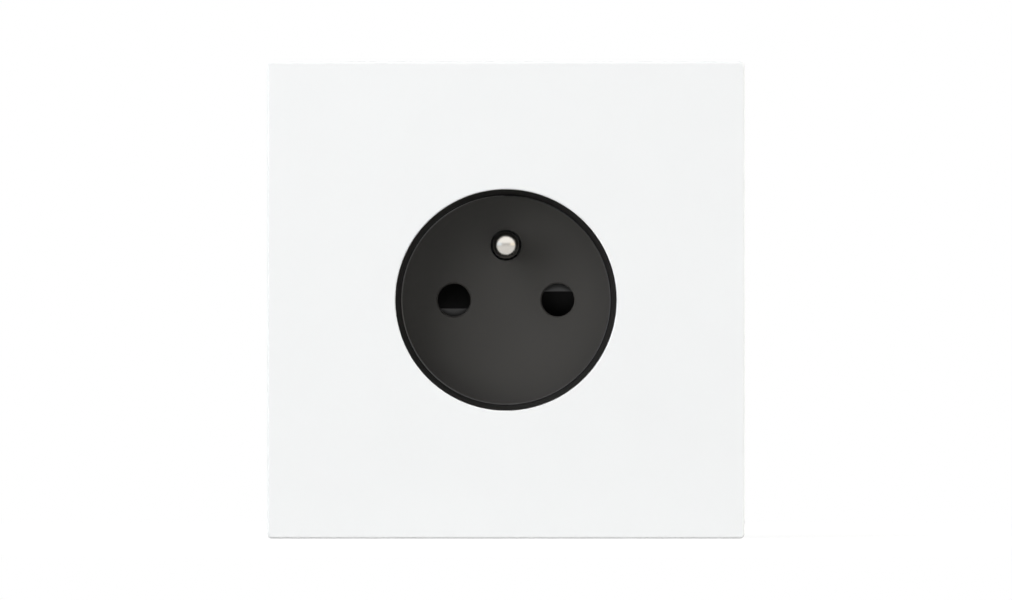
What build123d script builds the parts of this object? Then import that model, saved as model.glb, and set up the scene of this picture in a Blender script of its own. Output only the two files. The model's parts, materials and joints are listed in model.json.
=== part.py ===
from build123d import *
import math
import os

# Flush wall socket with an earth pin.
# The socket is drawn lying on its back: x to the right, y up the wall, z out of the wall, z = 0 on the
# wall's surface. The last step stands it up, so that +Z is up and the front faces -Y.
# All sizes are millimetres and degrees.

# Plug that the socket takes
pin_spacing = 19.0
pin_diameter = 4.8
pin_length = 19.0
earth_offset = 10.0
earth_projection = 14.0

# Cover plate
plate_size = 87.0
plate_height = 9.0
plate_front_wall = 1.8
plate_skirt_wall = 2.0
plate_corner = 0.8
plate_edge_round = 0.4
opening_edge_round = 0.25
rib_wall = 1.2
rib_depth = 2.5
pry_notch_width = 8.0
pry_notch_depth = 1.0
hook_wall = 1.4
hook_width = 24.0
hook_drop = 3.2

# Well
well_mouth = 40.4
well_floor = 38.5
well_depth = 15.0
well_wall = 1.3
floor_wall = 1.5
floor_fillet = 0.35
pin_hole_play = 0.6
pin_hole_chamfer = 0.25
earth_hole_play = 0.43
bead_height = 0.45
bead_width = 0.8
flange_wall = 1.5
flange_overhang = 2.0
flange_corner = 6.0

# Shutter, its chamber and its spring
ramp_start = 1.6
ramp_angle = 45.0
crest_angle = 10.0
crest_round = 0.12
shutter_opening = 40.0
shutter_edge = 0.6
shutter_web = 1.6
wing_margin = 1.0
hub_wall = 1.65
post_radius = 1.5
chamber_wall = 1.2
wing_play = 0.6
stop_radius = 1.25
spring_wire = 0.5
spring_pitch = 0.7
spring_turns = 3
back_leg_start = 225.0
peg_radius = 0.8
retainer_wall = 1.2

# Base, back cover and earth pin
base_wall = 1.6
base_corner = 10.0
deck_wall = 1.6
partition_wall = 1.0
boss_radius = 3.4
boss_inset = 5.5
back_wall = 2.0
earth_shank_step = 0.3
earth_collar = 3.4
earth_collar_height = 1.2
earth_rivet = 1.6
rivet_head = 2.4
rivet_height = 0.9

# Contacts and terminals
strip_sheet = 0.8
fork_width = 5.8
fork_grip = 4.4
fork_play = 0.5
fork_bend = 1.0
grip_share = 0.25
belly_share = 0.7
tab_width = 9.6
tab_height = 5.4
strip_bend = 1.2
clamp_sheet = 1.2
clamp_width = 9.2
clamp_height = 6.8
wire_space = 2.2
wire_hole = 3.0
wire_funnel = 0.8
terminal_screw_radius = 1.75
terminal_head_radius = 3.0
terminal_head_height = 1.8
terminal_head_recess = 1.9
terminal_tip = 2.0
terminal_tip_gap = 0.7

# Mounting frame, fixed to the wall box by two screws at a standard distance
frame_sheet = 1.0
frame_corner = 6.0
frame_lip_length = 40.0
frame_lip_height = 4.0
box_screw_spacing = 60.0
slot_width = 4.2
slot_length = 7.0
slot_land = 2.0

# Small screws
screw_radius = 1.2
screw_head_radius = 2.6
screw_head_height = 1.7
screw_reach = 8.0
retainer_screw_radius = 0.95
retainer_head_radius = 1.9
retainer_screw_length = 5.0
retainer_boss = 2.0

# Clearances
running_gap = 0.06
thread_gap = 0.05
hole_gap = 0.3
face_gap = 0.2
stop_gap = 0.1

# Levels, from the front to the back
rim_level = plate_height - plate_front_wall
flange_front = frame_sheet + flange_wall
floor_level = plate_height - well_depth
floor_back = floor_level - floor_wall
pin_hole_radius = pin_diameter / 2 + pin_hole_play
ramp_end = -(pin_hole_radius + face_gap)
ramp_drop = (ramp_start - ramp_end) * math.tan(math.radians(ramp_angle))
shutter_front = floor_back - face_gap
shutter_back = shutter_front - ramp_drop - shutter_edge
retainer_front = shutter_back - face_gap
retainer_back = retainer_front - retainer_wall
deck_front = retainer_back - face_gap
deck_back = deck_front - deck_wall
fork_mouth = deck_back - hole_gap
base_back = floor_level - pin_length - hole_gap - strip_sheet
back_level = base_back - back_wall
terminal_level = (deck_back + base_back) / 2
collar_back = deck_back - earth_collar_height

# Radii and positions seen from the front
mouth_radius = well_mouth / 2
floor_radius = well_floor / 2
bore_radius = mouth_radius + well_wall
bead_radius = bore_radius + bead_height
bead_level = rim_level - 2 * bead_width
pin_x = pin_spacing / 2
earth_radius = pin_diameter / 2
earth_shank = earth_radius - earth_shank_step
earth_hole = earth_radius + earth_hole_play
wing_top = pin_hole_radius + wing_margin
crest_drop = (wing_top - ramp_start) * math.tan(math.radians(crest_angle))
wing_inner = pin_x - pin_hole_radius - face_gap
wing_reach = pin_x + pin_hole_radius + wing_margin
hub_radius = post_radius + running_gap + hub_wall
chamber_radius = wing_reach + wing_play
spring_radius = wing_top + spring_wire
retainer_radius = floor_radius + hole_gap
retainer_screw_ring = chamber_radius + chamber_wall + retainer_head_radius / 2

# Terminal layout, outwards from the contact fork
fork_inner = pin_x - fork_width / 2
fork_outer = pin_x + fork_width / 2
tab_inner = fork_outer + terminal_tip_gap + terminal_tip
tab_outer = tab_inner + strip_sheet
tab_middle = (tab_inner + tab_outer) / 2
clamp_inner = tab_outer + wire_space
clamp_outer = clamp_inner + clamp_sheet
head_top = clamp_outer + terminal_head_height
base_half = max(head_top + terminal_head_recess, bore_radius + base_wall)
base_size = 2 * base_half
boss_offset = base_half - boss_inset
wire_x = (tab_outer + clamp_inner) / 2
wire_y = terminal_screw_radius + wire_hole / 2
pocket_half = tab_width / 2 + hole_gap
flange_size = base_size + 2 * flange_overhang
frame_opening = bore_radius + 2 * hole_gap
frame_half = (box_screw_spacing + slot_length) / 2 + slot_land
stop_reach = chamber_radius - stop_radius / 2

quarter_turns = (0, 90, 180, 270)
frame_screw_places = ((boss_offset, boss_offset), (-boss_offset, -boss_offset))
well_screw_places = ((-boss_offset, boss_offset), (boss_offset, -boss_offset))
boss_places = frame_screw_places + well_screw_places
retainer_screw_angles = (130, 310)
terminal_turns = {"line": 0, "earth": 90, "neutral": 180}
earth_turn = terminal_turns["earth"]
pole_turns = (terminal_turns["line"], terminal_turns["neutral"])
same = 0.001


def disc(radius, low, high, place=(0, 0)):
    """Round bar between two levels."""
    bar = Cylinder(radius, high - low, align=(Align.CENTER, Align.CENTER, Align.MIN))
    return Pos(place[0], place[1], low) * bar


def slab(width, height, low, high, corner):
    """Plate with rounded corners between two levels."""
    return extrude(Pos(0, 0, low) * RectangleRounded(width, height, corner), high - low)


def block(x_range, y_range, z_range):
    """Box given by its limits along the three axes."""
    lows = [x_range[0], y_range[0], z_range[0]]
    sizes = [x_range[1] - x_range[0], y_range[1] - y_range[0], z_range[1] - z_range[0]]
    return Pos(*lows) * Box(*sizes, align=(Align.MIN, Align.MIN, Align.MIN))


def turned(angle, shape):
    """The shape turned about the socket's middle axis."""
    return Rot(0, 0, angle) * shape


def lathe(points, arc=360):
    """Solid of revolution about the middle axis from (radius, level) points."""
    outline = make_face(Plane.XZ * Polyline(*points, close=True))
    return revolve(outline, Axis.Z, arc)


def ring_edges(shape, level, radius):
    """The round edges of one radius at one level."""
    rings = shape.edges().filter_by(GeomType.CIRCLE)
    return [e for e in rings if abs(e.arc_center.Z - level) < same and abs(e.radius - radius) < same]


def polar(radius, angle):
    """Point at a radius and an angle from the x axis."""
    return (radius * math.cos(math.radians(angle)), radius * math.sin(math.radians(angle)))


def bent_strip(points, bend, sheet, half_width):
    """Sheet metal strip, folded along (x, z) points, of a width centred on y = 0."""
    outline = trace(FilletPolyline(*points, radius=bend), sheet)
    side = Plane((0, half_width, 0), x_dir=(1, 0, 0), z_dir=(0, -1, 0))
    return extrude(side * outline, 2 * half_width)


def pan_screw(head_radius, head_height, shank_radius, length, cross):
    """Screw along z with its head's underside at level 0, with a cross recess or a plain slot."""
    head = disc(head_radius, 0, head_height)
    head = chamfer(ring_edges(head, head_height, head_radius), head_height * 0.35)
    shank = disc(shank_radius, -length, 0)
    shank = chamfer(ring_edges(shank, -length, shank_radius), shank_radius * 0.4)
    screw = head + shank
    slot_half = head_radius * 0.14
    slot_run = head_radius * 0.6 if cross else head_radius * 1.1
    recess = block((-slot_run, slot_run), (-slot_half, slot_half), (head_height * 0.45, head_height))
    screw -= recess
    if cross:
        screw -= turned(90, recess)
    return screw


def make_cover_plate():
    """Square plate with a skirt down to the wall, a round opening and four hooks behind it."""
    plate = slab(plate_size, plate_size, 0, plate_height, plate_corner)
    plate = fillet(plate.faces().sort_by(Axis.Z)[-1].edges(), plate_edge_round)
    inside = plate_size - 2 * plate_skirt_wall
    plate -= slab(inside, inside, 0, rim_level, plate_corner)
    plate -= disc(mouth_radius, rim_level, plate_height)
    plate = fillet(ring_edges(plate, plate_height, mouth_radius), opening_edge_round)
    hook_inner = bead_radius + face_gap
    hook_outer = hook_inner + hook_wall
    barb = bead_radius - hole_gap
    tip = rim_level - hook_drop
    ledge = bead_level - stop_gap
    profile = [
        (hook_inner, rim_level),
        (hook_outer, rim_level),
        (hook_outer, tip),
        (hook_inner, tip),
        (barb, tip + hook_inner - barb),
        (barb, ledge),
        (hook_inner, ledge),
    ]
    hook = turned(-hook_width / 2, lathe(profile, hook_width))
    rib_low = rim_level - rib_depth
    rib = block((hook_inner + hook_wall / 2, inside / 2), (-rib_wall / 2, rib_wall / 2), (rib_low, rim_level))
    for angle in quarter_turns:
        plate += turned(angle, hook)
        plate += turned(angle, rib)
    half_notch = pry_notch_width / 2
    edge = plate_size / 2
    plate -= block((-half_notch, half_notch), (-edge, plate_skirt_wall - edge), (0, pry_notch_depth))
    return plate


def shutter_stop(side):
    """Post at the chamber's wall that stops a wing, off the wing's middle line by a distance."""
    along = math.sqrt(stop_reach ** 2 - side ** 2)
    return disc(stop_radius, retainer_front, floor_back, (along, side))


def make_socket_well():
    """Round cup for the plug, with the pin holes in its floor and the shutter chamber behind it."""
    cup = lathe([
        (0, floor_level),
        (floor_radius, floor_level),
        (mouth_radius, rim_level),
        (mouth_radius + well_wall, rim_level),
        (floor_radius + well_wall, floor_level),
        (floor_radius + well_wall, floor_back),
        (0, floor_back),
    ])
    cup = fillet(ring_edges(cup, floor_level, floor_radius), floor_fillet)
    bead = lathe([
        (mouth_radius + well_wall / 2, bead_level),
        (bead_radius, bead_level),
        (bead_radius, bead_level + bead_width / 2),
        (mouth_radius + well_wall / 2, bead_level + 2 * bead_width),
    ])
    flange = slab(flange_size, flange_size, frame_sheet, flange_front, flange_corner)
    flange -= disc(mouth_radius + well_wall / 2, frame_sheet, flange_front)
    chamber = disc(chamber_radius + chamber_wall, retainer_front, floor_back)
    chamber -= disc(chamber_radius, retainer_front, floor_back)
    well = cup + bead + flange + chamber
    well += disc(post_radius, retainer_back + hole_gap, floor_back)
    for turn in pole_turns:
        well += turned(turn, shutter_stop(ramp_end - stop_gap - stop_radius))
        well += turned(turn + shutter_opening, shutter_stop(wing_top + stop_gap + stop_radius))
    for angle in retainer_screw_angles:
        place = polar(retainer_screw_ring, angle)
        well += disc(retainer_boss, retainer_front, floor_back, place)
        pilot_end = retainer_back + retainer_screw_length + hole_gap
        well -= disc(retainer_screw_radius + thread_gap, retainer_front, pilot_end, place)
    for turn in pole_turns:
        well -= turned(turn, disc(pin_hole_radius, floor_back, floor_level, (pin_x, 0)))
    well = chamfer(ring_edges(well, floor_level, pin_hole_radius), pin_hole_chamfer)
    well -= turned(earth_turn, disc(earth_hole, floor_back, floor_level, (earth_offset, 0)))
    for place in frame_screw_places:
        well -= disc(screw_head_radius + 2 * hole_gap, frame_sheet, flange_front, place)
    for place in well_screw_places:
        well -= disc(screw_radius + hole_gap, frame_sheet, flange_front, place)
    return well


def make_shutter():
    """Rotor with two wings, each a crest with a ramp that the plug's pins push aside and a slope behind it."""
    profile = [
        (wing_top, shutter_front - crest_drop),
        (ramp_start, shutter_front),
        (ramp_end, shutter_front - ramp_drop),
        (ramp_end, shutter_back),
        (wing_top, shutter_back),
    ]
    side = Plane((wing_inner, 0, 0), x_dir=(0, 1, 0), z_dir=(1, 0, 0))
    wing = extrude(side * make_face(Polyline(*profile, close=True)), wing_reach - wing_inner)
    wing = fillet(wing.edges().sort_by(Axis.Z)[-1:], crest_round)
    wing &= disc(wing_reach, shutter_back, shutter_front)
    web_back = shutter_front - shutter_web
    web = block((0, wing_inner), (0, wing_top), (web_back, shutter_front))
    rotor = disc(hub_radius, shutter_back, shutter_front)
    for turn in pole_turns:
        rotor += turned(turn, wing)
        rotor += turned(turn, web)
    return rotor - disc(post_radius + running_gap, shutter_back, shutter_front)


def spring_levels():
    """Levels of the spring's front and back legs."""
    front = shutter_front - shutter_web - spring_wire
    return front, front - (spring_turns + 0.375) * spring_pitch


def make_shutter_spring():
    """Torsion spring round the hub: one leg on the upper side of a wing, one on the retainer's peg."""
    front, back = spring_levels()
    helix = Helix(spring_pitch, front - back, spring_radius, lefthand=True)
    coil = Pos(0, 0, back) * Rot(0, 0, back_leg_start) * helix
    leg_x, leg_y = polar(pin_x, back_leg_start + 90)
    back_leg = Line(coil @ 0 + Vector(leg_x, leg_y, 0), coil @ 0)
    front_leg = Line(coil @ 1, coil @ 1 + Vector(pin_x, 0, 0))
    path = Wire([back_leg.edge(), coil.edge(), front_leg.edge()])
    section = Plane(path @ 0, z_dir=path % 0) * RegularPolygon(spring_wire / 2, 8)
    return sweep(section, path=path)


def make_shutter_retainer():
    """Disc that closes the shutter chamber, with a peg for the spring."""
    retainer = disc(retainer_radius, retainer_back, retainer_front)
    peg_top = spring_levels()[1] + spring_wire
    side = spring_radius - spring_wire / 2 - thread_gap - peg_radius
    peg = (Rot(0, 0, back_leg_start) * Pos(side, 0.7 * pin_x, 0)).position
    retainer += disc(peg_radius, retainer_front, peg_top, (peg.X, peg.Y))
    for turn in pole_turns:
        retainer -= turned(turn, disc(pin_hole_radius, retainer_back, retainer_front, (pin_x, 0)))
    retainer -= turned(earth_turn, disc(earth_hole, retainer_back, retainer_front, (earth_offset, 0)))
    retainer -= disc(post_radius + thread_gap, retainer_back, retainer_front)
    for angle in retainer_screw_angles:
        hole = lathe(countersink(thread_gap))
        retainer -= Pos(*polar(retainer_screw_ring, angle), retainer_back) * hole
    return retainer


def countersink(gap):
    """Outline of the retainer screw's head and the shank next to it, widened by a gap."""
    shank = retainer_screw_radius + gap
    head = retainer_head_radius + gap
    return [(0, 0), (head, 0), (shank, head - shank), (shank, retainer_wall), (0, retainer_wall)]


def make_retainer_screw(angle):
    """Countersunk screw that goes in from behind."""
    screw = lathe(countersink(0))
    screw += disc(retainer_screw_radius, retainer_wall, retainer_screw_length)
    reach = 0.6 * retainer_head_radius
    half_slot = 0.14 * retainer_head_radius
    slot = block((-reach, reach), (-half_slot, half_slot), (0, reach / 2))
    screw -= slot
    screw -= turned(90, slot)
    return Pos(*polar(retainer_screw_ring, angle), retainer_back) * screw


def chamber(inner, wall):
    """Room for a contact and its terminal, from a distance off the middle out to the side wall."""
    reach = base_half - base_wall
    half = pocket_half + wall
    return block((inner - wall, reach + wall / 2), (-half, half), (base_back, deck_back))


def make_socket_base():
    """Moulded body: a round bore for the well in front, a deck, and the contact chambers behind it."""
    base = slab(base_size, base_size, base_back, 0, base_corner)
    base -= disc(bore_radius, deck_front, 0)
    inside = base_size - 2 * base_wall
    base -= slab(inside, inside, base_back, deck_back, base_corner - base_wall)
    for place in boss_places:
        base += disc(boss_radius, base_back, deck_back, place)
    starts = {name: fork_inner - hole_gap for name in terminal_turns}
    starts["earth"] = earth_offset - earth_collar - hole_gap
    for name, angle in terminal_turns.items():
        base += turned(angle, chamber(starts[name], partition_wall))
    access = Rot(0, 90, 0) * Cylinder(terminal_head_radius + hole_gap, base_size / 4)
    for name, angle in terminal_turns.items():
        base -= turned(angle, chamber(starts[name], 0))
        base -= turned(angle, Pos(base_half, 0, terminal_level) * access)
    for turn in pole_turns:
        base -= turned(turn, disc(pin_hole_radius, deck_back, deck_front, (pin_x, 0)))
    base -= turned(earth_turn, disc(earth_shank + thread_gap, deck_back, deck_front, (earth_offset, 0)))
    pilot = screw_radius + thread_gap
    for place in boss_places:
        base -= disc(pilot, -screw_reach - hole_gap, 0, place)
        base -= disc(pilot, base_back, base_back + screw_reach, place)
    return base


def make_back_cover():
    """Flat cover of the base with two wire entries at each terminal."""
    cover = slab(base_size, base_size, back_level, base_back, base_corner)
    cover = fillet(cover.faces().sort_by(Axis.Z)[0].edges(), plate_edge_round)
    for place in boss_places:
        cover -= disc(screw_radius + hole_gap, back_level, base_back, place)
        cover -= disc(screw_head_radius + hole_gap, back_level, back_level + back_wall / 2, place)
    hole = wire_hole / 2
    funnel = lathe([
        (0, back_level),
        (hole + wire_funnel, back_level),
        (hole, back_level + wire_funnel),
        (hole, base_back),
        (0, base_back),
    ])
    for angle in terminal_turns.values():
        for y in (-wire_y, wire_y):
            cover -= turned(angle, Pos(wire_x, y, 0) * funnel)
    return cover


def terminal_tab():
    """Upright tab of a terminal with the hole for its screw."""
    half = tab_width / 2
    heights = (terminal_level - tab_height / 2, terminal_level + tab_height / 2)
    tab = block((tab_inner, tab_outer), (-half, half), heights)
    hole = Rot(0, 90, 0) * Cylinder(terminal_screw_radius + thread_gap, 4 * strip_sheet)
    return tab, Pos(tab_middle, 0, terminal_level) * hole


def make_contact():
    """Fork of brass strip for a pin, an arm along the back cover and a terminal tab."""
    sheet = strip_sheet / 2
    grip = fork_grip / 2 + sheet
    belly = pin_diameter / 2 + fork_play + sheet
    mouth = pin_hole_radius + fork_play + sheet
    bottom = base_back + sheet
    length = fork_mouth - bottom
    half = [
        (mouth, fork_mouth),
        (grip, fork_mouth - grip_share * length),
        (belly, fork_mouth - belly_share * length),
        (belly, bottom),
    ]
    points = half + [(-y, z) for y, z in reversed(half)]
    outline = trace(FilletPolyline(*points, radius=fork_bend), strip_sheet)
    side = Plane((fork_inner, 0, 0), x_dir=(0, 1, 0), z_dir=(1, 0, 0))
    fork = extrude(side * outline, fork_width)
    arm_path = [(pin_x, bottom), (tab_middle, bottom), (tab_middle, terminal_level)]
    tab, hole = terminal_tab()
    return fork + bent_strip(arm_path, strip_bend, strip_sheet, belly - strip_bend) + tab - hole


def make_earth_strip():
    """Brass strip from the earth pin's tail to the earth terminal, drawn along x."""
    level = collar_back - strip_sheet / 2
    path = [(earth_offset, level), (tab_middle, level), (tab_middle, terminal_level)]
    strip = bent_strip(path, strip_bend, strip_sheet, earth_collar)
    strip += disc(earth_collar, collar_back - strip_sheet, collar_back, (earth_offset, 0))
    tab, hole = terminal_tab()
    strip = strip + tab - hole
    return strip - disc(earth_rivet + thread_gap, collar_back - strip_sheet, collar_back, (earth_offset, 0))


def make_earth_pin():
    """Turned pin with a round tip, a collar behind the deck and a riveted tail, drawn on the x axis."""
    tip = floor_level + earth_projection
    pin = disc(earth_radius, floor_level, tip - earth_radius)
    dome = Pos(0, 0, tip - earth_radius) * Sphere(earth_radius)
    pin += dome & disc(earth_radius, tip - earth_radius, tip)
    pin += disc(earth_shank, deck_back, floor_level)
    pin += disc(earth_collar, collar_back, deck_back)
    tail = collar_back - strip_sheet
    pin += disc(earth_rivet, tail, collar_back)
    end = tail - rivet_height
    pin += lathe([(0, tail), (rivet_head, tail), (0.8 * rivet_head, end + 0.2 * rivet_height), (0, end)])
    return Pos(earth_offset, 0, 0) * pin


def make_clamp():
    """Saddle under the terminal screw's head, with a groove for each wire."""
    half_y = clamp_width / 2
    half_z = clamp_height / 2
    heights = (terminal_level - half_z, terminal_level + half_z)
    clamp = block((clamp_inner, clamp_outer), (-half_y, half_y), heights)
    hole = Rot(0, 90, 0) * Cylinder(terminal_screw_radius + thread_gap, 4 * clamp_sheet)
    clamp -= Pos(clamp_inner, 0, terminal_level) * hole
    for y in (-wire_y, wire_y):
        clamp -= disc(clamp_sheet / 2, heights[0], heights[1], (clamp_inner, y))
    return clamp


def make_terminal_screw():
    """Slotted screw that draws the clamp to the tab, drawn along x."""
    length = clamp_outer - tab_inner + terminal_tip
    screw = pan_screw(terminal_head_radius, terminal_head_height, terminal_screw_radius, length, False)
    return Pos(clamp_outer, 0, terminal_level) * Rot(0, 90, 0) * screw


def make_mounting_frame():
    """Steel sheet with folded sides, a round opening and four slots for the wall box's screws."""
    size = 2 * frame_half
    frame = slab(size, size, 0, frame_sheet, frame_corner)
    fold = frame_half - slot_land
    half_lip = frame_lip_length / 2
    relief = half_lip + hole_gap
    middle = frame_sheet / 2
    edge = frame_half - middle
    lip_path = [(fold - middle, middle), (edge, middle), (edge, frame_lip_height)]
    lip = bent_strip(lip_path, frame_sheet, frame_sheet, half_lip)
    slot = extrude(Pos(box_screw_spacing / 2, 0, 0) * SlotOverall(slot_length, slot_width), frame_sheet)
    for angle in quarter_turns:
        frame -= turned(angle, block((fold, frame_half), (-relief, relief), (0, frame_sheet)))
        frame += turned(angle, lip)
        frame -= turned(angle, slot)
    frame -= disc(frame_opening, 0, frame_sheet)
    for place in boss_places:
        frame -= disc(screw_radius + hole_gap, 0, frame_sheet, place)
    return frame


def small_screw(place, level, length):
    """Cross recess screw, driven in from the front."""
    screw = pan_screw(screw_head_radius, screw_head_height, screw_radius, length, True)
    return Pos(place[0], place[1], level) * screw


def build_pieces():
    """Every piece by its name, in the frame of the socket lying on its back."""
    pieces = {
        "cover_plate": make_cover_plate(),
        "socket_well": make_socket_well(),
        "shutter": make_shutter(),
        "shutter_spring": make_shutter_spring(),
        "shutter_retainer": make_shutter_retainer(),
        "socket_base": make_socket_base(),
        "back_cover": make_back_cover(),
        "contact_line": turned(terminal_turns["line"], make_contact()),
        "contact_neutral": turned(terminal_turns["neutral"], make_contact()),
        "earth_pin": turned(earth_turn, make_earth_pin()),
        "earth_strip": turned(earth_turn, make_earth_strip()),
        "mounting_frame": make_mounting_frame(),
    }
    for name, angle in terminal_turns.items():
        pieces["clamp_" + name] = turned(angle, make_clamp())
        pieces["terminal_screw_" + name] = turned(angle, make_terminal_screw())
    for number, angle in enumerate(retainer_screw_angles, 1):
        pieces[f"retainer_screw_{number}"] = make_retainer_screw(angle)
    for number, place in enumerate(frame_screw_places, 1):
        pieces[f"frame_screw_{number}"] = small_screw(place, frame_sheet, frame_sheet + screw_reach)
    for number, place in enumerate(well_screw_places, 1):
        pieces[f"well_screw_{number}"] = small_screw(place, flange_front, flange_front + screw_reach)
    head_level = back_level + back_wall / 2
    for number, (x, y) in enumerate(boss_places, 1):
        screw = small_screw((x, -y), -head_level, screw_reach)
        pieces[f"back_cover_screw_{number}"] = Rot(180, 0, 0) * screw
    return pieces


os.makedirs("parts", exist_ok=True)
for name, piece in build_pieces().items():
    piece = Rot(90, 0, 0) * piece
    piece.label = name
    export_step(piece, f"parts/{name}.step")
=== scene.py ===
# %% [markdown]
# A flush wall socket: a square white plate, a round black well, two shuttered pin holes and an earth pin.
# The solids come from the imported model, which is the fixed frame of this scene. Nothing in it is moved.
# Here the pieces get their finishes, the turned, coiled and threaded ones are drawn again as smooth
# surfaces, and a camera, a floor and soft lamps show the socket as in a studio.

# %% Load the frame
import json
import math

import bpy
import numpy as np
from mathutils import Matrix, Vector

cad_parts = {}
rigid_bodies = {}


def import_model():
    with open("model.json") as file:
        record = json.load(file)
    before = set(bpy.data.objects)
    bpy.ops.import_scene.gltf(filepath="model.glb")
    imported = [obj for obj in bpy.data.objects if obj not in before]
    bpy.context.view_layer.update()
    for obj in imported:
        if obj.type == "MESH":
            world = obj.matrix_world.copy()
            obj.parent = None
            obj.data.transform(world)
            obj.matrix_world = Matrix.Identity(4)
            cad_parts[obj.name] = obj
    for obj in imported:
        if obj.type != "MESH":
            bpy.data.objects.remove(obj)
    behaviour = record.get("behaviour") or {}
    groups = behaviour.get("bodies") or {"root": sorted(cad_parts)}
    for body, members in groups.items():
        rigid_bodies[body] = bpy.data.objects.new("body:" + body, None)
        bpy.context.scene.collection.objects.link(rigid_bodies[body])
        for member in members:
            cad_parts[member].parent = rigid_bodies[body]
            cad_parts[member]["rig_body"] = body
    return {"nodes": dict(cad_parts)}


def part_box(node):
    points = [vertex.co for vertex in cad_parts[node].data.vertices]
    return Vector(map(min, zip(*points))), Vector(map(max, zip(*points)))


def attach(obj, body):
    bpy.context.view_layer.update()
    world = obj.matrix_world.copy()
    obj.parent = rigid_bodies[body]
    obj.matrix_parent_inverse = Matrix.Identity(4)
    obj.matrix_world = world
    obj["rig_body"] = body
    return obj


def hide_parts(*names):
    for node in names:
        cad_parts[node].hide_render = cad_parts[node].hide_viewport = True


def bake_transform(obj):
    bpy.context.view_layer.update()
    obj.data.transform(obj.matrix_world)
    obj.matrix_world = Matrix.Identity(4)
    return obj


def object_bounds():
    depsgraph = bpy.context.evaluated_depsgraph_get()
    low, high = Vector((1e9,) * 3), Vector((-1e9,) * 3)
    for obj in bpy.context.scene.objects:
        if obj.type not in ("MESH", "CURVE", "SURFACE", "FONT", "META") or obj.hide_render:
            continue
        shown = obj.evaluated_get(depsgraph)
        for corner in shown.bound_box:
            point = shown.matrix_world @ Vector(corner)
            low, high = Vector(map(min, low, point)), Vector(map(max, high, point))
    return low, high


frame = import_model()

cad_low, cad_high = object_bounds()
nodes = frame["nodes"]
MM = 0.001
print(len(nodes), "nodes, box in mm:", [round(x / MM, 2) for x in cad_high - cad_low])

# %% [markdown]
# Colours are written as sRGB hex, as a paint chart gives them. The renderer works with linear light, so one
# function turns them over. Another adds a shader node, sets its sockets and links it in one call, which
# keeps each material readable as a list of nodes. Nodes could also be placed by hand in the shader editor,
# but then nobody could read here how a finish was made.

# %% Colours and nodes
def linear(code):
    """Linear RGBA of a hex colour: the two-part sRGB curve, undone channel by channel."""
    srgb = np.array([int(code[i:i + 2], 16) for i in (1, 3, 5)]) / 255
    light = np.where(srgb <= 0.04045, srgb / 12.92, ((srgb + 0.055) / 1.055) ** 2.4)
    return (*map(float, light), 1.0)


def add(tree, kind, sockets=None, **settings):
    """Adds a node, sets its properties, and sets or links each of its sockets by name or number.

    A Mix node has sockets of the same name for each kind of data. On colours its factor is number 0, the two
    colours are 6 and 7, and the result is output 2.
    """
    node = tree.nodes.new(kind)
    for name, value in settings.items():
        setattr(node, name, value)
    for name, value in (sockets or {}).items():
        if isinstance(value, bpy.types.NodeSocket):
            tree.links.new(value, node.inputs[name])
        else:
            node.inputs[name].default_value = value
    return node


def blank(name):
    """A new material with an empty node tree."""
    material = bpy.data.materials.new(name)
    material.use_nodes = True
    material.node_tree.nodes.clear()
    return material, material.node_tree


print("the grey #808080 is", round(linear("#808080")[0], 3), "in linear light")

# %% [markdown]
# The camera stands straight in front, far away with a long lens, because the picture it follows shows no
# perspective: the earth pin and its hole are concentric. An orthographic camera would do the same, but a
# long lens still behaves as a camera in other views. The frame is 1012 pixels wide, and the two pin holes,
# 19 mm apart, lie 104.1 pixels apart in it, which gives the width of the view at the socket.

# %% Camera
image_width = 1012
hole_distance_px = 104.1
hole_distance = 19.0 * MM
view_width = image_width * hole_distance / hole_distance_px
sensor = 36.0
lens = 1000.0
plane_y = -5.0 * MM
camera_data = bpy.data.cameras.new("camera")
camera_data.sensor_width = sensor
camera_data.lens = lens
camera_data.clip_end = 20.0
camera = bpy.data.objects.new("camera", camera_data)
camera.location = (0.0, plane_y - view_width * lens / sensor, 0.0)
camera.rotation_euler = (math.radians(90), 0.0, 0.0)
bpy.context.scene.collection.objects.link(camera)
bpy.context.scene.camera = camera
bpy.context.scene.view_settings.view_transform = "Standard"
print("view", round(view_width / MM, 1), "mm wide from", round(-camera.location.y, 2), "m")

# %% [markdown]
# The world is the white room around the table. The camera sees it plain white. For light that falls on dull
# surfaces it is only a weak fill. In reflections it is a studio: pale walls behind, grey towards the
# camera, a warm softbox on the right, a cool one on the left and a large white one above. A picture of a
# studio could give these reflections, but each softbox is simple enough to be a soft step on one axis of
# the direction. So the polished pin shows them without any lamp having to stand there.

# %% World
fill_level = 0.06
mirror_level = 1.45
room_white = "#D8D8D8"
world = bpy.data.worlds.new("white_room")
bpy.context.scene.world = world
world.use_nodes = True
tree = world.node_tree
tree.nodes.clear()
ray = add(tree, "ShaderNodeLightPath").outputs
direction = add(tree, "ShaderNodeTexCoord").outputs["Generated"]
axis = add(tree, "ShaderNodeSeparateXYZ", {0: direction}).outputs
leftwards = add(tree, "ShaderNodeMath", {0: axis["X"], 1: -1.0}, operation="MULTIPLY").outputs[0]
forwards = add(tree, "ShaderNodeMath", {0: axis["Y"], 1: -1.0}, operation="MULTIPLY").outputs[0]
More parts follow.
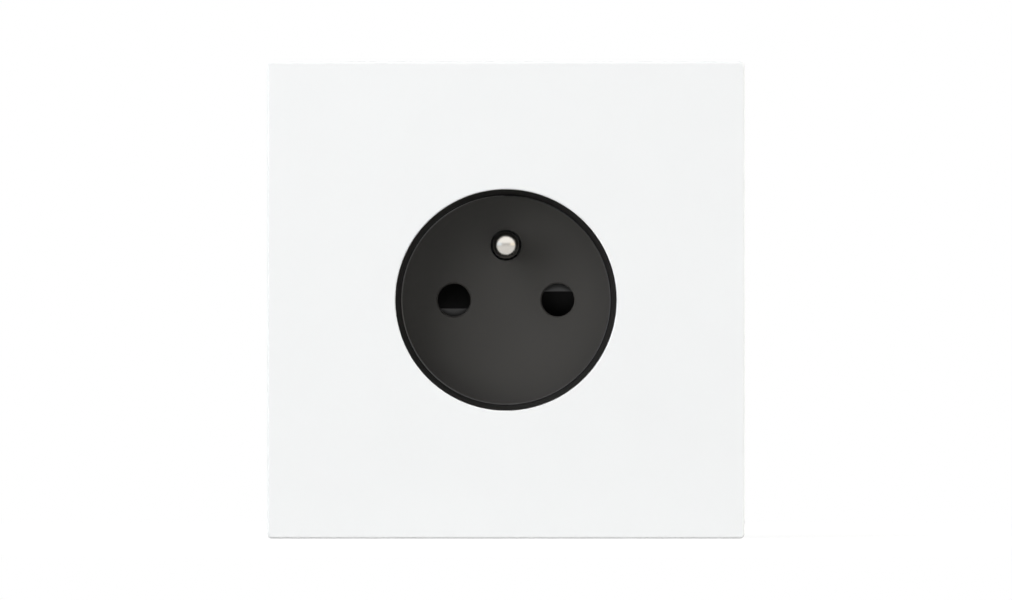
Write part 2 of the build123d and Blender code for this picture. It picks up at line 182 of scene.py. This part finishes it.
# Each row: the axis that it lies on, where its soft edge starts and ends there, and its colour.
studio_parts = {
    "grey_front": (forwards, 0.05, 0.25, "#BEBEBE"),
    "warm_right": (axis["X"], 0.52, 0.70, "#FFF6E6"),
    "cool_left": (leftwards, 0.52, 0.70, "#EAF5FF"),
    "white_above": (axis["Z"], 0.22, 0.42, "#FFFFFF"),
}
studio = linear(room_white)
for along, start, end, tint in studio_parts.values():
    amount = add(tree, "ShaderNodeMapRange", {"Value": along, "From Min": start, "From Max": end},
                 interpolation_type="SMOOTHSTEP").outputs["Result"]
    studio = add(tree, "ShaderNodeMix", {0: amount, 6: studio, 7: linear(tint)}, data_type="RGBA").outputs[2]
shown = add(tree, "ShaderNodeMath", {0: ray["Is Camera Ray"], 1: ray["Is Transmission Ray"]},
            operation="MAXIMUM").outputs[0]
white = add(tree, "ShaderNodeBackground", {"Color": linear("#FFFFFF"), "Strength": 1.0}).outputs[0]
fill = add(tree, "ShaderNodeBackground", {"Color": linear("#FFFFFF"), "Strength": fill_level}).outputs[0]
mirrored = add(tree, "ShaderNodeBackground", {"Color": studio, "Strength": mirror_level}).outputs[0]
unseen = add(tree, "ShaderNodeMixShader", {0: ray["Is Glossy Ray"], 1: fill, 2: mirrored}).outputs[0]
room = add(tree, "ShaderNodeMixShader", {0: shown, 1: unseen, 2: white}).outputs[0]
add(tree, "ShaderNodeOutputWorld", {"Surface": room})
print("the studio in reflections:", ", ".join(studio_parts))

# %% [markdown]
# Six large lamps give the light, wide enough for soft shadows. The left one makes the well's floor brighter
# towards the right, because the wall keeps its light off the floor's left side. The front one stands low
# and fills the well. The others light the top, the two sides and the back, for views from there. One lamp
# would be enough for the front view but would leave those sides black. A lamp's power is its radiance times
# pi times its area, where a radiance is given so that 1 is the white of the picture. Reflections leave the
# lamps out and show the studio of the world.

# %% Lamps
# Each row: the direction it shines from, its distance, width and height in metres, its radiance and its tint.
lamps = {
    "left_lamp": ((-0.60, -0.73, 0.32), 2.2, 1.5, 2.4, 4.05, "#FEFDFF"),
    "front_lamp": ((0.10, -0.98, -0.16), 2.2, 1.2, 1.2, 2.7, "#FFFEFB"),
    "top_lamp": ((-0.1, -0.30, 0.95), 2.2, 1.8, 1.2, 2.1, "#FFFFFF"),
    "back_lamp": ((0.20, 0.96, 0.18), 2.2, 1.6, 1.6, 4.6, "#FFFFFF"),
    "right_lamp": ((0.98, -0.16, 0.10), 2.2, 1.4, 2.0, 5.0, "#FFFDF9"),
    "side_lamp": ((-0.98, -0.16, 0.10), 2.2, 1.4, 2.0, 1.6, "#F6FBFF"),
}
for name, (toward, distance, width, tall, radiance, tint) in lamps.items():
    lamp_data = bpy.data.lights.new(name, "AREA")
    lamp_data.shape = "RECTANGLE"
    lamp_data.size = width
    lamp_data.size_y = tall
    lamp_data.energy = radiance * math.pi * width * tall
    lamp_data.color = linear(tint)[:3]
    lamp = bpy.data.objects.new(name, lamp_data)
    spot = Vector(toward).normalized() * distance
    lamp.location = spot
    lamp.rotation_euler = spot.to_track_quat("Z", "Y").to_euler()
    lamp.visible_camera = False
    lamp.visible_glossy = False
    bpy.context.scene.collection.objects.link(lamp)
    print(name, round(lamp_data.energy, 2), "W")

# %% [markdown]
# The floor is a pale sheet under the plate's lower edge. It takes the socket's shadow. A little light of
# its own, seen by the camera and in reflections only, lifts it to white without lighting the socket, and
# away from the socket it fades into the white of the room. It casts no shadow itself, like a translucent
# table in a photo studio, so that the low front lamp also reaches the socket from below the table.

# %% Floor
floor_half = 3.0
floor_lift = 0.86
fade_start = 0.12
fade_end = 0.40
low = cad_low.z
corners = np.array([(-1, -1), (1, -1), (1, 1), (-1, 1)]) * floor_half
floor_mesh = bpy.data.meshes.new("floor")
floor_mesh.from_pydata(np.column_stack([corners, np.full(len(corners), low)]).tolist(), [], [(0, 1, 2, 3)])
floor = bpy.data.objects.new("floor", floor_mesh)
bpy.context.scene.collection.objects.link(floor)
# Paper gives an even matt white without any shine, so only the shadow is seen on it.
material, tree = blank("matt_white_paper")
ray = add(tree, "ShaderNodeLightPath").outputs
place = add(tree, "ShaderNodeTexCoord").outputs["Object"]
reach = add(tree, "ShaderNodeVectorMath", {0: place}, operation="LENGTH").outputs["Value"]
fade = add(tree, "ShaderNodeMapRange", {"Value": reach, "From Min": fade_start, "From Max": fade_end},
           interpolation_type="SMOOTHSTEP").outputs["Result"]
seen = ray["Is Camera Ray"]
for other in ("Is Glossy Ray", "Is Transmission Ray"):
    seen = add(tree, "ShaderNodeMath", {0: seen, 1: ray[other]}, operation="MAXIMUM").outputs[0]
strength = add(tree, "ShaderNodeMath", {0: seen, 1: floor_lift}, operation="MULTIPLY").outputs[0]
faded = add(tree, "ShaderNodeMath", {0: seen, 1: fade}, operation="MULTIPLY").outputs[0]
paper = add(tree, "ShaderNodeBsdfDiffuse", {"Color": linear("#7E7E7D")}).outputs[0]
lift = add(tree, "ShaderNodeEmission", {"Color": linear("#FFFFFF"), "Strength": strength}).outputs[0]
near = add(tree, "ShaderNodeAddShader", {0: paper, 1: lift}).outputs[0]
far = add(tree, "ShaderNodeEmission", {"Color": linear("#FFFFFF"), "Strength": 1.0}).outputs[0]
sheet = add(tree, "ShaderNodeMixShader", {0: faded, 1: near, 2: far}).outputs[0]
add(tree, "ShaderNodeOutputMaterial", {"Surface": sheet})
floor_mesh.materials.append(material)
floor.visible_shadow = False
print("floor at", round(low / MM, 2), "mm")

# %% [markdown]
# Moulded plastic is never quite even. The mould's skin leaves a fine grain, which softens the gloss, and
# the melt leaves slow changes of gloss over the piece. Both could be painted as images, but two noises give
# them at a real size from any distance. One function builds every plastic here from its colour, its
# roughness, its grain in millimetres and how deep the grain is. A real grain is a few hundredths of a
# millimetre, too fine to show in this picture, so it is drawn at 0.15 to 0.30 mm.

# %% How a moulded plastic is made
plastic_ior = 1.5
grain_detail = 3.0
flow_detail = 2.0
layer_fade_mm = 0.015


def moulded_plastic(name, colour, roughness, grain_mm, depth_mm,
                    flow_mm=14.0, drift=0.05, shine=0.5, layer=None):
    """Plastic whose bump is a fine noise and whose colour and gloss drift slowly over the piece.

    A layer is a second colour, its shine, and the middle and half height along y, in millimetres, of the slab
    that has them.
    """
    material, tree = blank(name)
    place = add(tree, "ShaderNodeTexCoord").outputs["Object"]
    base = linear(colour)
    # On the well the layer's colour is the floor's, and the darker base colour left on the wall is painted
    # shade.
    if layer:
        layer_colour, layer_shine, middle_mm, half_mm = layer
        depth = add(tree, "ShaderNodeSeparateXYZ", {0: place}).outputs["Y"]
        behind = add(tree, "ShaderNodeMath", {0: depth, 1: middle_mm * MM}, operation="SUBTRACT").outputs[0]
        away = add(tree, "ShaderNodeMath", {0: behind}, operation="ABSOLUTE").outputs[0]
        amount = add(tree, "ShaderNodeMapRange", {
            "Value": away, "From Min": (half_mm + layer_fade_mm) * MM, "From Max": half_mm * MM},
            interpolation_type="SMOOTHSTEP").outputs["Result"]
        base = add(tree, "ShaderNodeMix", {0: amount, 6: base, 7: linear(layer_colour)},
                   data_type="RGBA").outputs[2]
        shine = add(tree, "ShaderNodeMapRange", {
            "Value": amount, "To Min": shine, "To Max": layer_shine}).outputs["Result"]
    grain = add(tree, "ShaderNodeTexNoise", {
        "Vector": place, "Scale": 1 / (grain_mm * MM), "Detail": grain_detail}).outputs["Fac"]
    flow = add(tree, "ShaderNodeTexNoise", {
        "Vector": place, "Scale": 1 / (flow_mm * MM), "Detail": flow_detail}).outputs["Fac"]
    tone = add(tree, "ShaderNodeMapRange", {
        "Value": flow, "To Min": 1 - drift, "To Max": 1 + drift}).outputs["Result"]
    gloss = add(tree, "ShaderNodeMapRange", {
        "Value": flow, "To Min": roughness - drift, "To Max": roughness + drift}).outputs["Result"]
    shade = add(tree, "ShaderNodeMix", {0: 1.0, 6: base, 7: tone},
                data_type="RGBA", blend_type="MULTIPLY").outputs[2]
    bump = add(tree, "ShaderNodeBump", {
        "Height": grain, "Strength": 1.0, "Distance": depth_mm * MM}).outputs["Normal"]
    skin = add(tree, "ShaderNodeBsdfPrincipled", {
        "Base Color": shade, "Roughness": gloss, "IOR": plastic_ior, "Specular IOR Level": shine,
        "Normal": bump}).outputs[0]
    add(tree, "ShaderNodeOutputMaterial", {"Surface": skin})
    print(name, "is made of", len(tree.nodes), "nodes")
    return material


# %% [markdown]
# The socket has six plastics. The well needs two finishes on one piece: its wall is polished, so that a plug
# slides in, and its floor is grained. Its wall is also given a near-black colour, far darker than the dark
# grey
# floor of the same plastic: that is painted shade on the deep wall. A second material on the floor's faces
# could do it, but the solid's mesh stays as it is. So colour and finish change with the depth, in a thin
# layer at the floor that also takes in the chamfers of the pin holes.

# %% Plastics of the socket
# Each call gives the name, the colour, the roughness, and the size and depth of the grain in millimetres.
# Urea from a satin mould: a faintly cool white with a soft sheen that shows no sharp reflection.
white_cover = moulded_plastic("urea_white_satin_moulded", "#F1F3F3", 0.38, 0.25, 0.0012, drift=0.012)
# Polyamide, polished on the wall and spark-eroded on the floor: a black ring with a thin bright line where it
# rounds into the floor, and a matt floor that light lifts to a dark grey. The wall's near-black colour, far
# darker than the floor's, is painted shade.
well_floor_over_painted_shade_wall = ("#464543", 0.125, 6.125, 0.13)
black_well_painted_wall_shade = moulded_plastic("polyamide_black_wall_painted_shade", "#0E0E0E", 0.34, 0.18, 0.0012, drift=0.04,
                             shine=0.8, layer=well_floor_over_painted_shade_wall)
# Acetal: a waxy black, on which the slopes of the shutter catch a soft grey light behind the pin holes.
black_shutter = moulded_plastic("acetal_black_moulded", "#181818", 0.34, 0.15, 0.001)
# Polyamide from a plain mould: a middle grey with a dull sheen, set off from the black shutter.
grey_retainer = moulded_plastic("polyamide_grey_moulded", "#5A5C5E", 0.42, 0.25, 0.004)
# Polyamide with glass fibres: dark and dull, since the fibres roughen the skin, so gaps in front stay dark.
grey_base = moulded_plastic("polyamide_dark_grey_glass_filled", "#66696B", 0.50, 0.30, 0.006)
# The same in a paler grey: a dull, even back, on which the bright screws stand out.
grey_back = moulded_plastic("polyamide_grey_glass_filled", "#9EA0A0", 0.48, 0.30, 0.006)

# %% [markdown]
# The metals differ in how their surface was made. Plating is bright and a little cloudy, rolled strip keeps
# fine lines along the rolling direction, and a turned and polished pin is nearly a mirror. A single colour
# would look like paint, so the clouds are a noise between two colours, and the lines are a finer noise
# stretched along one axis. Real lines are finer than a tenth of a millimetre and are drawn coarser, so that
# they show.

# %% How a worked metal is made
cloud_detail = 4.0
line_detail = 2.0
gloss_spread = 0.12


def worked_metal(name, colour, tarnish, roughness, cloud_mm, line_mm, stretch, depth_mm):
    """Metal with cloudy patches between two colours and fine lines, stretched along the axes as given."""
    material, tree = blank(name)
    place = add(tree, "ShaderNodeTexCoord").outputs["Object"]
    drawn = add(tree, "ShaderNodeMapping", {"Vector": place, "Scale": stretch}).outputs[0]
    clouds = add(tree, "ShaderNodeTexNoise", {
        "Vector": place, "Scale": 1 / (cloud_mm * MM), "Detail": cloud_detail}).outputs["Fac"]
    lines = add(tree, "ShaderNodeTexNoise", {
        "Vector": drawn, "Scale": 1 / (line_mm * MM), "Detail": line_detail}).outputs["Fac"]
    shade = add(tree, "ShaderNodeMix", {0: clouds, 6: linear(colour), 7: linear(tarnish)},
                data_type="RGBA").outputs[2]
    gloss = add(tree, "ShaderNodeMapRange", {
        "Value": clouds, "To Min": roughness * (1 - gloss_spread),
        "To Max": roughness * (1 + gloss_spread)}).outputs["Result"]
    bump = add(tree, "ShaderNodeBump", {
        "Height": lines, "Strength": 1.0, "Distance": depth_mm * MM}).outputs["Normal"]
    skin = add(tree, "ShaderNodeBsdfPrincipled", {
        "Base Color": shade, "Metallic": 1.0, "Roughness": gloss, "Normal": bump}).outputs[0]
    add(tree, "ShaderNodeOutputMaterial", {"Surface": skin})
    print(name, "is made of", len(tree.nodes), "nodes")
    return material


# %% [markdown]
# Five metals are in the socket, and only the earth pin is seen from the front at rest. The others show
# through the holes, at the back, or when the shutter is open.

# %% Metals of the socket
# Each call gives the name, two colours, the roughness, the size of the clouds and the width of the lines in
# millimetres, how the lines are stretched, and their depth in millimetres.
even = (1, 1, 1)
# Turned and polished nickel: a small bright cap on the round tip, warm and cool at its sides.
nickel_pin = worked_metal("nickel_turned_polished", "#D2CEC7", "#C8C4BD", 0.24, 3.0, 0.2, even, 0.0002)
# Rolled brass: a yellow glow behind the open pin holes, with darker tarnished patches and faint lines.
brass_strip = worked_metal("brass_rolled_strip", "#D2B063", "#B8934A", 0.33, 4.0, 0.3, (1, 0.08, 1), 0.002)
# Zinc-plated sheet: a cloudy bluish grey with faint rolling lines under the plating.
zinc_sheet = worked_metal("steel_zinc_plated_sheet", "#C9CDD1", "#B3B8BE", 0.34, 3.0, 0.4,
                          (1, 0.15, 1), 0.003)
# Zinc-plated screws: bright bluish heads with sharp lights on their edges and threads.
zinc_screw = worked_metal("steel_zinc_plated_screw", "#CED2D6", "#B7BCC2", 0.23, 1.2, 0.2, even, 0.001)
# Drawn spring steel: a darker grey with a thin line of light along every turn.
spring_wire = worked_metal("spring_steel_drawn", "#A7A9AB", "#8B8D90", 0.23, 1.0, 0.1, even, 0.001)

# %% [markdown]
# Each node takes the finish of its real piece. It could be set node by node, but many pieces share a
# finish, so a table by the start of a node's name serves all of them, and the longest start that fits wins.

# %% Finishes on the solids
finishes = {
    "cover_plate": white_cover,
    "socket_well": black_well_painted_wall_shade,
    "shutter": black_shutter,
    "shutter_spring": spring_wire,
    "shutter_retainer": grey_retainer,
    "socket_base": grey_base,
    "back_cover": grey_back,
    "earth_pin": nickel_pin,
    "contact": brass_strip,
    "earth_strip": brass_strip,
    "mounting_frame": zinc_sheet,
    "clamp": zinc_sheet,
    "terminal_screw": zinc_screw,
    "retainer_screw": zinc_screw,
    "frame_screw": zinc_screw,
    "well_screw": zinc_screw,
    "back_cover_screw": zinc_screw,
}
for name, node in nodes.items():
    match = max((start for start in finishes if name.startswith(start)), key=len)
    node.data.materials.clear()
    node.data.materials.append(finishes[match])
    print(name, "gets", finishes[match].name)

# %% [markdown]
# Turned, threaded and coiled pieces are drawn again as smooth surfaces. They could be spun or screwed with
# modifiers, but a grid of points says the shape directly: one row for each ring along the piece and one
# column for each step round it. One function closes such a grid at both ends and makes it a mesh that
# stands for its node, so a screw, a pin and a spring differ only in their points.


def replace_node(name, rings, material, across=None, sharp_angle=40.0):
    """Mesh over rings of points, of which the first and last are shrunk to one point, in place of a node.

    Point k of a ring joins point k + 1 of its ring and point k of the next one. The signed volume, the sum
    of the triple products of all triangles, is negative where the faces look inwards, and they are then
    turned round. A piece that goes across a joint is left in its place in the world and joined to no body.
    The two bodies and the points where it leaves the one and reaches the other, given in across, are not
    used.
    """
    steps = rings.shape[1]
    inner = rings[1:-1].reshape(-1, 3)
    points = np.vstack([inner, rings[0, :1], rings[-1, :1]])
    final = len(inner) - steps
    start = np.arange(0, final, steps)[:, None]
    here = np.arange(steps)
    after = np.roll(here, -1)
    quads = np.stack([start + here, start + after, start + steps + after, start + steps + here], -1)
    quads = quads.reshape(-1, 4)
    near_cap = np.stack([np.full(steps, len(inner)), after, here], -1)
    far_cap = np.stack([np.full(steps, len(inner) + 1), final + here, final + after], -1)
    triangles = np.vstack([quads[:, [0, 1, 2]], quads[:, [0, 2, 3]], near_cap, far_cap])
    a, b, c = np.moveaxis(points[triangles], 1, 0)
    inside_out = np.einsum("ij,ij->i", a, np.cross(b, c)).sum() < 0
    order = slice(None, None, -1 if inside_out else 1)
    faces = [*quads[:, order].tolist(), *near_cap[:, order].tolist(), *far_cap[:, order].tolist()]
    mesh = bpy.data.meshes.new(name + "_smooth")
    mesh.from_pydata(points.tolist(), [], faces)
    mesh.polygons.foreach_set("use_smooth", np.ones(len(faces), bool))
    mesh.set_sharp_from_angle(angle=math.radians(sharp_angle))
    mesh.materials.append(material)
    piece = bpy.data.objects.new(name + "_smooth", mesh)
    bpy.context.scene.collection.objects.link(piece)
    if across:
        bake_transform(piece)
    else:
        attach(piece, nodes[name]["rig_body"])
    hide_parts(name)
    print(piece.name, len(triangles), "triangles")


# %% [markdown]
# Round pieces are easiest to write about the z axis and then stood up where they belong. Turning the object
# would do that too, but every object here stays unturned at the origin, as the solids do, so the points are
# turned.

# %% Points about an axis
def around(radius, height, angle):
    """Points at a radius and an angle about the z axis and at a height, as arrays of one shape."""
    return np.stack(np.broadcast_arrays(radius * np.cos(angle), radius * np.sin(angle), height), -1)


def stand(points, origin, pointing):
    """Turns points about +z so that their axis points along a world axis, and moves zero to the origin."""
    pointing = np.array(pointing, float)
    side = np.roll(np.abs(pointing), 1)
    return origin + points @ np.array([side, np.cross(pointing, side), pointing])


print("+z stood along +y:", stand(np.array([0.0, 0.0, 1.0]), np.zeros(3), (0, 1, 0)).tolist())

# %% [markdown]
# The earth pin is turned from a bar: a round tip, a collar that bears against the base and a riveted tail.
# A lathe makes it from an outline, and so does this cell: a quarter circle followed by straight steps,
# carried once round the axis. A fine grid keeps the polished tip free of flats, because on a mirror every
# flat would show.

# %% Earth pin
tip_radius = 2.4 * MM
shank_radius = 2.1 * MM
collar_radius = 3.4 * MM
rivet_radius = 1.6 * MM
rivet_flat = 1.9 * MM
well_floor_y = 6.0 * MM
collar_front_y = 16.3 * MM
collar_back_y = 17.5 * MM
rivet_y = 18.3 * MM
rivet_flat_y = 19.0 * MM
tip_rings = 33
pin_columns = 96
pin_low, pin_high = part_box("earth_pin")
quarter = np.linspace(0, math.pi / 2, tip_rings)[1:]
tip_outline = np.stack([tip_radius * np.sin(quarter), pin_low.y + tip_radius * (1 - np.cos(quarter))], -1)
steps_outline = np.array([
    (tip_radius, well_floor_y),
    (shank_radius, well_floor_y),
    (shank_radius, collar_front_y),
    (collar_radius, collar_front_y),
    (collar_radius, collar_back_y),
    (rivet_radius, collar_back_y),
    (rivet_radius, rivet_y),
    (tip_radius, rivet_y),
    (rivet_flat, rivet_flat_y),
    (0.0, pin_high.y),
])
outline = np.vstack([[(0.0, pin_low.y)], tip_outline, steps_outline])
turn = np.linspace(0, 2 * math.pi, pin_columns, endpoint=False)
rings = around(outline[:, :1], outline[:, 1:], turn)
pin_axis = (0.0, 0.0, (pin_low.z + pin_high.z) / 2)
replace_node("earth_pin", stand(rings, pin_axis, (0, 1, 0)), nickel_pin)

# %% [markdown]
# The spring is drawn wire wound on the shutter's hub, with a straight leg at each end. A curve with a bevel
# could draw it, but here its middle line is written as it is: a helix with two tangents, along which a
# circle is carried. The circle stands on the radial direction, which is square to the path everywhere, so
# no frame has to be carried along. On the real socket the back leg stays on its peg and the front one goes
# with the shutter, so the coil winds up as it turns. Here the spring is joined to no body and stays where it
# is.

# %% Shutter spring
wire_radius = 0.25 * MM
coil_radius = 4.5 * MM
coil_pitch = 0.7 * MM
coil_turns = 3.375
coil_front_y = 9.8 * MM
leg_length = 9.5 * MM
first_angle = math.radians(225)
coil_steps = 160
wire_columns = 20
sweep_angle = np.linspace(0, -2 * math.pi * coil_turns, coil_steps) + first_angle
coil_y = coil_front_y + coil_pitch * coil_turns * np.linspace(1, 0, coil_steps)
zero = np.zeros(coil_steps)
radial = np.stack([np.cos(sweep_angle), zero, np.sin(sweep_angle)], -1)
tangent = np.stack([np.sin(sweep_angle), zero, -np.cos(sweep_angle)], -1)
coil = coil_radius * radial + np.stack([zero, coil_y, zero], -1)
path = np.vstack([coil[:1] - leg_length * tangent[:1], coil, coil[-1:] + leg_length * tangent[-1:]])
radial = np.vstack([radial[:1], radial, radial[-1:]])
turn = np.linspace(0, 2 * math.pi, wire_columns, endpoint=False)[None, :, None]
along_y = np.array([0.0, 1.0, 0.0])
wire = path[:, None] + wire_radius * (np.cos(turn) * radial[:, None] + np.sin(turn) * along_y)
tips = np.broadcast_to(path[[0, -1], None], (2, wire_columns, 3))
rings = np.concatenate([tips[:1], wire, tips[1:]])
leaves = (0.0, coil_y[0] - wire_radius, 0.0)
reaches = (0.0, coil_y[-1] + wire_radius, 0.0)
replace_node("shutter_spring", rings, spring_wire, across=("socket", "shutter", leaves, reaches))

# %% [markdown]
# A screw's head has a cross recess or a slot, pressed in by a punch. Cutting it with a boolean would leave
# ragged triangles. Here the columns of the grid bend so that they run along the sides of the recess, which
# keeps them straight, and the points between them are sunk.

# %% Recess of a screw
columns = 64
recess_wall = 0.06 * MM
floor_share = 3 / 8
wall_share = 1 / 2
floor_limit = 0.8
wall_limit = 0.9
tie_break = 1e-9


def recess_angles(radius, half_width, arms):
    """Angles of the columns on rings of given radii, with a pair of columns along each side of every arm.

    Within half an arm's sector the share of the columns maps to the angle of the recess floor's edge at the
    floor share and of its upper edge at the wall share, and beyond that evenly to the end of the sector.
    """
    sector = math.pi / arms
    place = np.arange(columns) / columns * 2 * arms
    share = np.abs((place + 1) % 2 - 1)
    sign = np.where(place % 2 < 1, 1, -1)
    middle = np.round(place / 2 + tie_break) * 2 * sector
    floor_edge = np.arcsin(np.minimum(half_width / radius, 1))
    floor_edge = np.minimum(floor_edge, floor_limit * sector)
    upper_edge = np.arcsin(np.minimum((half_width + recess_wall) / radius, 1))
    upper_edge = np.minimum(upper_edge, wall_limit * sector)
    on_floor = floor_edge * share / floor_share
    on_wall = floor_edge + (upper_edge - floor_edge) * (share - floor_share) / (wall_share - floor_share)
    outside = upper_edge + (sector - upper_edge) * (share - wall_share) / (1 - wall_share)
    bent = np.where(share <= floor_share, on_floor, np.where(share <= wall_share, on_wall, outside))
    return middle + sign * bent


def recess_depth(radius, angle, half_width, run, depth, arms):
    """Depth of the recess at a point: full between the sides and within the run of an arm, and 0 outside."""
    sector = math.pi / arms
    off = np.abs((angle + sector) % (2 * sector) - sector)
    side = np.clip((half_width + recess_wall - radius * np.sin(off)) / recess_wall, 0, 1)
    end = np.clip((run + recess_wall - radius) / recess_wall, 0, 1)
    return depth * side * end


print(columns, "columns, recess walls", recess_wall / MM, "mm wide")

# %% [markdown]
# The thread is rolled into the shank. A screw modifier could wind it, but as a grid it is one formula: a
# ridge whose place along the axis moves on by one pitch in each turn, so the radius is the core plus a
# trapezoid of (height / pitch + angle / turn). It runs out towards the point, where the core gets thinner
# too.

# %% Head, thread and point of a screw
thread_share = 0.22
ridge_slope = 1.6
ridge_foot = 0.2
point_share = 0.55
top_rings = 15
first_ring = 0.02
rings_per_pitch = 10
edge_rings = 7


def screw_rings(side, shank, length, pitch, half_width, run, depth, arms):
    """Rings of a screw along z, its head's top at 0: a flat top, the head's side, a thread and a point.

    The side gives radii and heights from the rim of the flat top to the shank. Along it the bent columns of
    the top go over into even ones.
    """
    rim_radius = side[0, 0]
    top = np.concatenate([np.linspace(first_ring, 1, top_rings) * rim_radius, [run, run + recess_wall]])
    top = np.unique(top)[:, None]
    top = top[top[:, 0] <= rim_radius]
    angle = recess_angles(top, half_width, arms)
    face = around(top, -recess_depth(top, angle, half_width, run, depth, arms), angle)
    even_angle = 2 * math.pi * np.arange(columns) / columns
    mix = np.linspace(0, 1, len(side))[:, None]
    side_angle = (1 - mix) * recess_angles(side[:, :1], half_width, arms) + mix * even_angle
    rim = around(side[:, :1], side[:, 1:], side_angle)
    neck = side[-1, 1]
    height = np.linspace(neck, -length, int((length + neck) / pitch * rings_per_pitch))[1:, None]
    phase = (height / pitch + even_angle / (2 * math.pi)) % 1
    ridge = np.clip(ridge_slope * (1 - np.abs(2 * phase - 1)) - ridge_foot, 0, 1)
    point = np.clip((height + length) / shank, 0, 1)
    core = shank * (1 - thread_share) * (point_share + (1 - point_share) * point)
    thread = around(core + shank * thread_share * ridge * point, height, even_angle)
    middle = np.broadcast_to(face[:1, :1] * (0, 0, 1), (1, columns, 3))
    tip = np.broadcast_to([0.0, 0.0, -length], (1, columns, 3))
    return np.concatenate([middle, face, rim, thread, tip])


def pan_side(head_radius, head_height, shank, rounding):
    """Side of a pan head: a quarter round from the top, then straight down and back in to the shank."""
    bend = np.linspace(0, math.pi / 2, edge_rings)
    arc = np.stack([head_radius - rounding + rounding * np.sin(bend), rounding * (np.cos(bend) - 1)], -1)
    return np.vstack([arc, [(head_radius, -head_height), (shank, -head_height)]])


print(rings_per_pitch, "rings on each turn of a thread")

# %% [markdown]
# Thirteen screws hold the socket together and clamp its wires. Each takes its place, length and head from
# the box of its solid, so the drawn screw can't be bigger than the solid. The small ones have a pan head
# with a cross, those of the shutter's disc are sunk flush, and those of the terminals have a slot for a
# flat screwdriver.

# %% Screws in their places
rounding_share = 0.45


def make_screws(names, pointing, head_height, shank, pitch, arms, recess, countersunk=False):
    """Threaded screws in place of nodes, sized by their boxes, with the head's top towards a world axis."""
    toward = np.array(pointing, float)
    along = int(np.argmax(np.abs(toward)))
    for name in names:
        corner_low, corner_high = (np.array(corner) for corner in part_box(name))
        size = corner_high - corner_low
        length = size[along]
        head_radius = size[(along + 1) % 3] / 2
        origin = (corner_low + corner_high) / 2 + toward * length / 2
        half_width, run, depth = (head_radius * share for share in recess)
        if countersunk:
            side = np.array([(head_radius, 0.0), (shank, shank - head_radius)])
        else:
            side = pan_side(head_radius, head_height, shank, rounding_share * head_height)
        rings = screw_rings(side, shank, length, pitch, half_width, run, depth, arms)
        replace_node(name, stand(rings, origin, toward), zinc_screw)


# Half width, run and depth of a recess, as shares of the head's radius.
cross_recess = (0.14, 0.60, 0.36)
slot_recess = (0.14, 1.10, 0.33)
small = {"head_height": 1.7 * MM, "shank": 1.2 * MM, "pitch": 0.9 * MM, "arms": 4, "recess": cross_recess}
flush = {"head_height": 0.0, "shank": 0.95 * MM, "pitch": 0.6 * MM, "arms": 4, "recess": cross_recess}
terminal = {"head_height": 1.8 * MM, "shank": 1.75 * MM, "pitch": 0.6 * MM, "arms": 2, "recess": slot_recess}
make_screws([f"back_cover_screw_{k}" for k in (1, 2, 3, 4)], (0, 1, 0), **small)
make_screws([f"{kind}_screw_{k}" for kind in ("frame", "well") for k in (1, 2)], (0, -1, 0), **small)
make_screws(["retainer_screw_1", "retainer_screw_2"], (0, 1, 0), countersunk=True, **flush)
make_screws(["terminal_screw_line"], (1, 0, 0), **terminal)
make_screws(["terminal_screw_neutral"], (-1, 0, 0), **terminal)
make_screws(["terminal_screw_earth"], (0, 0, 1), **terminal)
